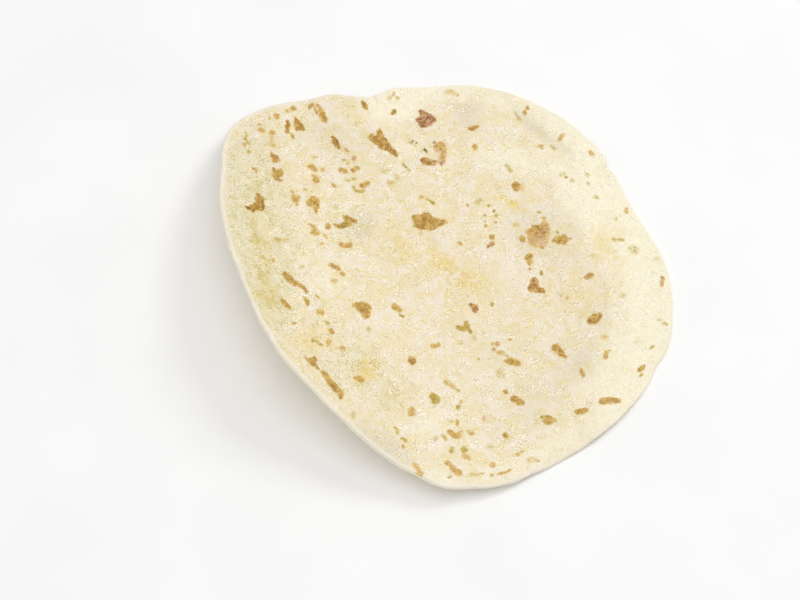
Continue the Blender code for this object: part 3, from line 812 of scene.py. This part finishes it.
def sheet_surfaces():
    """Both faces and the rounded rim between them, as points in millimetres, triangles and attributes."""
    angles, shares, triangles = net_of_rings()
    outline = rim_radius(angles) + rim_raggedness(angles) - RIM_ROUND
    reach = shares * outline
    places = np.column_stack((reach * np.cos(np.radians(angles)), reach * np.sin(np.radians(angles))))
    inside = (1.0 - shares) * outline + RIM_ROUND

    under = curled(places, wave_height(places))
    normals = point_normals(under, triangles)
    plain_top = under + normals * thickness(places, inside)[:, None]

    pixels = picture_pixels(plain_top)
    outlined = [with_corners(mark) for mark in OUTLINED_TOAST]
    depth, darkness, tone = toast_fields(pixels, LOBED_TOAST, outlined, TOAST_STROKES)
    relief = fine_relief(places, TOP_SEED) + toast_relief(depth, darkness)
    relief += soft_spots(pixels, SMALL_FORMS)
    top = plain_top + normals * relief[:, None]

    depth_below, darkness_below, tone_below = toast_fields(places / MM_PER_PIXEL, underside_marks())
    relief_below = fine_relief(places, UNDERSIDE_SEED) * smooth_step(under[:, 2], *UNDERSIDE_LIFT)
    under = under - normals * relief_below[:, None]

    # paleness of the upper face, partly the crust's own and partly painted light
    pale = soft_spots(pixels, PALE_AND_PAINTED_LIGHT_TINTS) + pale_and_painted_light_rims(angles, inside)
    pale_below = UNDERSIDE_PALE * soft_bump(inside / UNDERSIDE_PALE_WIDTH)
    line_gain = smooth_step(turn_between(angles, CURL_DIRECTION), *PALE_LINE_TURNS)
    pale_line = (PALE_LINE_LEAST + (1.0 - PALE_LINE_LEAST) * line_gain) * soft_bump(inside / PALE_LINE_WIDTH)
    attributes = {
        "toast": (depth, depth_below),
        "toast_darkness": (darkness, darkness_below),
        "toast_tone": (tone, tone_below),
        # stains, and by the curled left side painted bounce light; seeded stains on the underside
        "straw": (soft_spots(pixels, STRAW_AND_BOUNCE_LIGHT_TINTS), seeded_patches(places, *UNDERSIDE_STRAW)),
        # partly painted light on the upper face, the rim's own paleness on the underside
        "pale": (pale, pale_below),
        # painted shade on the upper face, an even grey on the underside
        "grey_and_painted_shade": (soft_spots(pixels, PAINTED_SHADE_TINTS), np.full(len(places), UNDERSIDE_GREY)),
        # olive tints, over the curled left side painted shade and painted bounce light
        "olive": (soft_spots(pixels, OLIVE_AND_PAINTED_SHADE_TINTS), seeded_patches(places, *UNDERSIDE_OLIVE)),
        "rim": (pale_line, pale_line),
    }
    return close_rim(places, top, under, triangles, attributes)


def close_rim(places, top, under, triangles, attributes):
    """Joins the two faces by a half-round rim."""
    count = len(places)
    rim_count = 6 * RINGS
    rim = np.arange(count - rim_count, count)
    outward = rim_outward(places[rim])
    no_lift = np.zeros(rim_count)
    lean = curled(places[rim] + outward * RIM_NUDGE, no_lift) - curled(places[rim], no_lift)
    outward = lean / np.linalg.norm(lean, axis=1)[:, None]
    middle = (top[rim] + under[rim]) / 2
    half = (top[rim] - under[rim]) / 2

    points = [top, under]
    rows = [rim]
    for strip in range(1, RIM_STRIPS):
        turn = math.pi * strip / RIM_STRIPS
        bulge = math.sin(turn) ** RIM_BLUNTNESS
        points.append(middle + half * math.cos(turn) + outward * RIM_ROUND * bulge)
        rows.append(2 * count + (strip - 1) * rim_count + np.arange(rim_count))
    rows.append(rim + count)

    faces = [triangles, triangles[:, ::-1] + count]
    for upper, lower in zip(rows, rows[1:]):
        faces.append(np.column_stack((upper, lower, np.roll(lower, -1))))
        faces.append(np.column_stack((upper, np.roll(lower, -1), np.roll(upper, -1))))

    values = {}
    for name, (above, below) in attributes.items():
        strips = [above, below]
        for strip in range(1, RIM_STRIPS):
            share = smooth_step(strip / RIM_STRIPS, *RIM_BLEND)
            strips.append(above[rim] * (1.0 - share) + below[rim] * share)
        values[name] = np.concatenate(strips)
    return np.concatenate(points), np.concatenate(faces), values


def make_sheet():
    """The tortilla as one dense mesh, with its middle where the frame has it."""
    points, faces, values = sheet_surfaces()
    low, high = (Vector(corner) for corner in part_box("tortilla"))
    own_low, own_high = points.min(axis=0), points.max(axis=0)
    shift = np.array(((low + high) / 2).to_tuple()) / MM - (own_low + own_high) / 2
    shift[2] = 0.0
    points = (points + shift) * MM

    mesh = bpy.data.meshes.new("tortilla_crust")
    mesh.vertices.add(len(points))
    mesh.vertices.foreach_set("co", points.ravel())
    mesh.loops.add(3 * len(faces))
    mesh.loops.foreach_set("vertex_index", faces.ravel())
    mesh.polygons.add(len(faces))
    mesh.polygons.foreach_set("loop_start", np.arange(0, 3 * len(faces), 3))
    mesh.update(calc_edges=True)
    mesh.shade_smooth()
    for name, value in values.items():
        mesh.attributes.new(name, "FLOAT", "POINT").data.foreach_set("value", value.astype(np.float32))
    sheet = bpy.data.objects.new("tortilla_crust", mesh)
    bpy.context.scene.collection.objects.link(sheet)
    return sheet, shift


# ---- Materials --------------------------------------------------------------------------------


class Shader:
    """A material and short ways to add and join its nodes."""

    def __init__(self, name):
        self.material = bpy.data.materials.new(name)
        self.material.use_nodes = True
        self.nodes = self.material.node_tree.nodes
        self.links = self.material.node_tree.links
        self.surface = self.nodes["Principled BSDF"]
        self.spot = self.nodes.new("ShaderNodeTexCoord").outputs["Object"]

    def fill(self, node, inputs):
        """Gives a node's inputs their values: other nodes' outputs, numbers or colours out of 255."""
        for name, source in inputs.items():
            if isinstance(source, bpy.types.NodeSocket):
                self.links.new(source, node.inputs[name])
            else:
                node.inputs[name].default_value = linear(source) if isinstance(source, tuple) else source

    def node(self, kind, inputs, **settings):
        node = self.nodes.new("ShaderNode" + kind)
        for name, value in settings.items():
            setattr(node, name, value)
        self.fill(node, inputs)
        return node

    def attribute(self, name):
        return self.node("Attribute", {}, attribute_name=name).outputs["Fac"]

    def noise(self, size, detail=2.0, warp=0.0, stretch=1.0):
        """Noise from 0 to 1 whose features are about so many millimetres across, and longer if stretched."""
        squeeze = Vector((1.0 / stretch, 1.0, 1.0))
        spot = self.node("VectorMath", {0: self.spot, 1: squeeze}, operation="MULTIPLY").outputs[0]
        inputs = {"Vector": spot, "Scale": 1.0 / (size * MM), "Detail": detail, "Distortion": warp}
        return self.node("TexNoise", inputs).outputs["Fac"]

    def ramp(self, value, low, high, to_low=0.0, to_high=1.0):
        """A smooth step from one value to another."""
        inputs = {"Value": value, "From Min": low, "From Max": high, "To Min": to_low, "To Max": to_high}
        return self.node("MapRange", inputs, interpolation_type="SMOOTHSTEP").outputs["Result"]

    def maths(self, operation, first, second):
        return self.node("Math", {0: first, 1: second}, operation=operation).outputs[0]

    def product(self, first, *others):
        for other in others:
            first = self.maths("MULTIPLY", first, other)
        return first

    def total(self, first, second):
        return self.maths("ADD", first, second)

    def swing(self, noise, middle, reach):
        """Noise made to swing to both sides of 0."""
        return self.product(self.maths("SUBTRACT", noise, middle), reach)

    def dusted(self, colour, factor):
        """A colour made lighter or darker by a factor, and at the same time whiter or yellower."""
        blue = self.maths("POWER", factor, DUST_YELLOWING)
        factors = self.node("CombineXYZ", {"X": factor, "Y": factor, "Z": blue}).outputs[0]
        return self.node("VectorMath", {0: colour, 1: factors}, operation="MULTIPLY").outputs[0]

    def mix(self, share, first, second):
        """A colour that goes from the first to the second."""
        inputs = {"Factor": share, 6: first, 7: second}
        return self.node("Mix", inputs, data_type="RGBA", clamp_factor=True).outputs[2]

    def layers(self, colour, *tints):
        """A colour with tints laid over it in turn, each with the share that it covers."""
        for share, tint in tints:
            colour = self.mix(share, colour, tint)
        return colour


def plain_crust(shader):
    """The untoasted crust's colour: floury cream under soft tints, some of them painted shade and painted
    light, then clustered straw grain and wisps.
    """
    ramp, noise, product = shader.ramp, shader.noise, shader.product
    pale = shader.attribute("pale")
    clusters = ramp(noise(5.0, 3.0, 1.0), 0.42, 0.60, 0.15, 1.40)
    olive = product(shader.attribute("olive"), ramp(clusters, 0.15, 1.40, 0.7, 1.2))
    calm = product(ramp(pale, 0.0, 1.0, 1.0, 0.3), ramp(olive, 0.0, 0.6, 1.0, 0.25))
    grain = ramp(noise(2.2, 1.5, 1.2, 1.6), 0.49, 0.63, 0.0, 0.48)
    wisps = ramp(noise(0.9, 1.5, 3.0, 2.0), 0.54, 0.63)
    colour = shader.layers(
        FLOUR,
        (ramp(noise(6.0, 4.0, 0.8), 0.38, 0.62), WARM_CREAM),
        # painted shade on the upper face, the underside's even grey
        (shader.attribute("grey_and_painted_shade"), GREY_AND_PAINTED_SHADE),
        # olive tints, over the curled left side painted shade and painted bounce light
        (ramp(olive, 0.0, 0.5, 0.0, 0.85), SAGE),
        (ramp(olive, 0.4, 1.2), OLIVE),
        # paleness, on the upper face partly painted light
        (pale, PALE_AND_PAINTED_LIGHT),
        # stains, and by the curled left side painted bounce light
        (product(shader.attribute("straw"), ramp(noise(4.5, 5.0, 1.0), 0.40, 0.56)), STAIN_AND_BOUNCE_LIGHT),
        (product(grain, clusters, calm), STRAW),
        (product(wisps, clusters, ramp(olive, -0.2, 0.6, 0.03, 0.85)), OLIVE_WISP),
    )
    rough = shader.dusted(colour, ramp(noise(0.5, 2.0, 1.0), 0.34, 0.66, 0.66, 1.34))
    specks = ramp(noise(4.0, 3.0, 0.8), 0.45, 0.62, 0.22, 1.08)
    specks = product(specks, ramp(pale, 0.0, 1.0, 0.88, 0.60), ramp(olive, 0.0, 0.4, 0.86, 1.25))
    return shader.layers(colour, (specks, rough), (product(shader.attribute("rim"), 0.85), RIM_TINT))


def toast_colour(shader):
    """The toast's colour, from gold at its edge to brown in its depth, and how far it covers the crust."""
    ramp, noise, product, swing = shader.ramp, shader.noise, shader.product, shader.swing
    wander = shader.total(swing(noise(1.4, 3.0), 0.5, 2.8), swing(noise(0.45, 2.0), 0.5, 4.0))
    ragged = shader.total(shader.attribute("toast"), wander)
    darkness = shader.attribute("toast_darkness")
    tone = shader.attribute("toast_tone")
    olive = ramp(tone, 0.0, -1.0)
    red = ramp(tone, 0.0, 1.0)
    edge = shader.layers(GOLD, (ramp(red, 0.3, 0.9), ROSE_GOLD), (olive, OLIVE_GOLD))
    core = shader.layers(BROWN, (red, RED_BROWN), (olive, OLIVE_BROWN), (ramp(darkness, 1.4, 1.7), CHAR))
    blotches = ramp(noise(1.6, 4.0, 0.8), 0.38, 0.60, 0.34, 1.10)
    streaks = ramp(noise(0.3, 1.0, 0.8, 0.5), 0.36, 0.64, 0.44, 1.44)
    outer = product(ramp(ragged, -0.6, 0.5), ramp(ragged, 0.7, 2.2, 1.0, 0.0))
    scorched = product(outer, ramp(noise(2.2, 2.0), 0.45, 0.60, 0.0, 0.40), ramp(darkness, 0.35, 0.75))
    browning = product(ramp(ragged, -0.8, 2.0, 0.34, 1.08), blotches)
    depth = shader.total(product(darkness, 0.80), 0.10)
    browning = product(shader.total(browning, scorched), depth, streaks)
    mottling = swing(noise(0.8, 4.0, 0.5), 0.55, 1.1)
    share = ramp(shader.total(darkness, mottling), -0.15, 0.48)
    faded = shader.maths("DIVIDE", ragged, ramp(darkness, 0.20, 0.45, 3.0, 1.0))
    return shader.mix(browning, edge, core), product(ramp(faded, -1.0, 0.3), share)


def crust_material():
    shader = Shader("crust")
    toast, cover = toast_colour(shader)
    grain = shader.total(shader.noise(0.5, 3.0), shader.product(shader.noise(1.3, 2.0), 1.4))
    bump = shader.node("Bump", {"Strength": 0.6, "Distance": 0.14 * MM, "Height": grain})
    shader.fill(shader.surface, {
        "Base Color": shader.mix(cover, plain_crust(shader), toast),
        "Roughness": shader.ramp(shader.noise(1.2, 3.0), 0.3, 0.7, 0.62, 0.80),
        "Specular IOR Level": 0.30,
        "Subsurface Weight": 0.12,
        "Subsurface Radius": Vector((1.0, 0.72, 0.40)),
        "Subsurface Scale": 1.2 * MM,
        "Normal": bump.outputs["Normal"],
    })
    return shader.material


def table_material():
    shader = Shader("table")
    shade = shader.ramp(shader.noise(60.0, 2.0), 0.3, 0.7)
    shader.fill(shader.surface, {
        "Base Color": shader.mix(shade, TABLE, TABLE_SHADE),
        "Roughness": 0.9,
        "Specular IOR Level": 0.2,
    })
    return shader.material


# ---- Stage, light and camera ------------------------------------------------------------------


def add_floor():
    corners = [(TABLE_HALF * x, TABLE_HALF * y, -TABLE_GAP) for x, y in ((-1, -1), (1, -1), (1, 1), (-1, 1))]
    mesh = bpy.data.meshes.new("table")
    mesh.from_pydata(corners, [], [(0, 1, 2, 3)])
    mesh.materials.append(table_material())
    floor = bpy.data.objects.new("table", mesh)
    bpy.context.scene.collection.objects.link(floor)


def add_light(name, place, size, power):
    """A square soft light that faces the tortilla."""
    light = bpy.data.lights.new(name, "AREA")
    light.size = size
    light.energy = power
    holder = bpy.data.objects.new(name, light)
    holder.location = place
    holder.rotation_euler = (-Vector(place)).to_track_quat("-Z", "Y").to_euler()
    bpy.context.scene.collection.objects.link(holder)


def add_lights():
    for light in LIGHTS:
        add_light(*light)
    world = bpy.data.worlds.new("studio")
    world.use_nodes = True
    background = world.node_tree.nodes["Background"]
    background.inputs["Color"].default_value = WHITE
    background.inputs["Strength"].default_value = WORLD_STRENGTH
    bpy.context.scene.world = world


def add_camera(shift):
    data = bpy.data.cameras.new("camera")
    data.sensor_width = SENSOR_WIDTH
    data.lens = SENSOR_WIDTH * CAMERA_DISTANCE / (FRAME_WIDTH * MM_PER_PIXEL)
    data.clip_start, data.clip_end = CAMERA_CLIP
    camera = bpy.data.objects.new("camera", data)
    camera.location = (camera_place() + shift) * MM
    camera.rotation_euler = (math.radians(90.0 - CAMERA_ELEVATION), 0.0, 0.0)
    bpy.context.scene.collection.objects.link(camera)
    bpy.context.scene.camera = camera


def main():
    bpy.context.scene.view_settings.view_transform = "Standard"
    sheet, shift = make_sheet()
    sheet.data.materials.append(crust_material())
    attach(sheet, "root")
    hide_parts("tortilla")
    add_floor()
    add_lights()
    add_camera(shift)


main()
